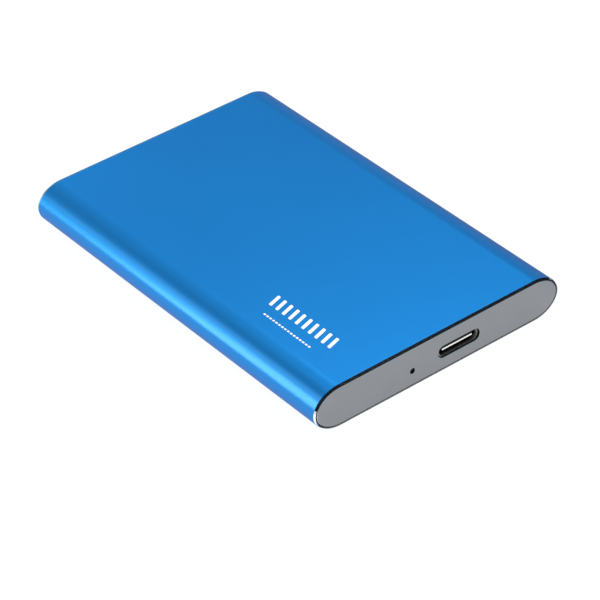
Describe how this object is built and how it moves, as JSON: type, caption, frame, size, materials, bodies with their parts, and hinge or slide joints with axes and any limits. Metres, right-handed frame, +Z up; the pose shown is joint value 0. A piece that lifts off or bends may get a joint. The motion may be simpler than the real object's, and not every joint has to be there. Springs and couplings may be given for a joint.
{
  "type": "portable solid state drive",
  "caption": "Pocket storage drive with a flat oval-sided blue aluminium body, grey end plates, an oval data port and a pinhole light.",
  "frame": {"origin": "middle of the flat underside", "axes": "+Z up from the underside, +Y along the length away from the port, +X across the width, to the right seen from the port end"},
  "size_m": [0.054, 0.08, 0.0084],
  "materials": {
    "blue_anodised": "fine blasted, anodised blue, with bright cut end edges",
    "grey_anodised": "fine blasted, anodised grey",
    "port_steel": "drawn, nickel plated",
    "pale_insulator": "moulded, off white",
    "gold_contact": "gold plated",
    "black_moulding": "fine textured moulding",
    "adhesive_sheet": "thin acrylic foam",
    "screw_steel": "zinc plated",
    "board_laminate": "green solder mask on glass laminate",
    "chip_moulding": "moulded resin",
    "can_steel": "bright lid",
    "coil_powder": "pressed iron powder",
    "capacitor_ceramic": "fired, unglazed",
    "lamp_resin": "clear yellowish resin",
    "smoked_rod": "smoked moulding, black until it is lit",
    "standoff_brass": "turned",
    "heat_pad_silicone": "soft filled silicone"
  },
  "bodies": {
    "root": {"sleeve": "blue_anodised", "front_plate": "grey_anodised", "rear_plate": "grey_anodised", "front_tape": "adhesive_sheet", "rear_tape": "adhesive_sheet", "tray": "black_moulding", "rear_retainer": "black_moulding", "front_screws": "screw_steel", "rear_screws": "screw_steel", "bridge_board": "board_laminate", "port_shell": "port_steel", "port_tongue": "pale_insulator", "port_contacts": "gold_contact", "port_guard": "chip_moulding", "status_lamp": "lamp_resin", "light_rod": "smoked_rod", "bridge_chip": "chip_moulding", "firmware_chip": "chip_moulding", "crystal": "can_steel", "power_coil": "coil_powder", "capacitors": "capacitor_ceramic", "card_socket": "black_moulding", "socket_tails": "gold_contact", "flash_card": "board_laminate", "card_standoff": "standoff_brass", "card_screw": "screw_steel", "card_controller": "chip_moulding", "flash_package": "chip_moulding", "heat_pad": "heat_pad_silicone"}
  },
  "joints": []
}
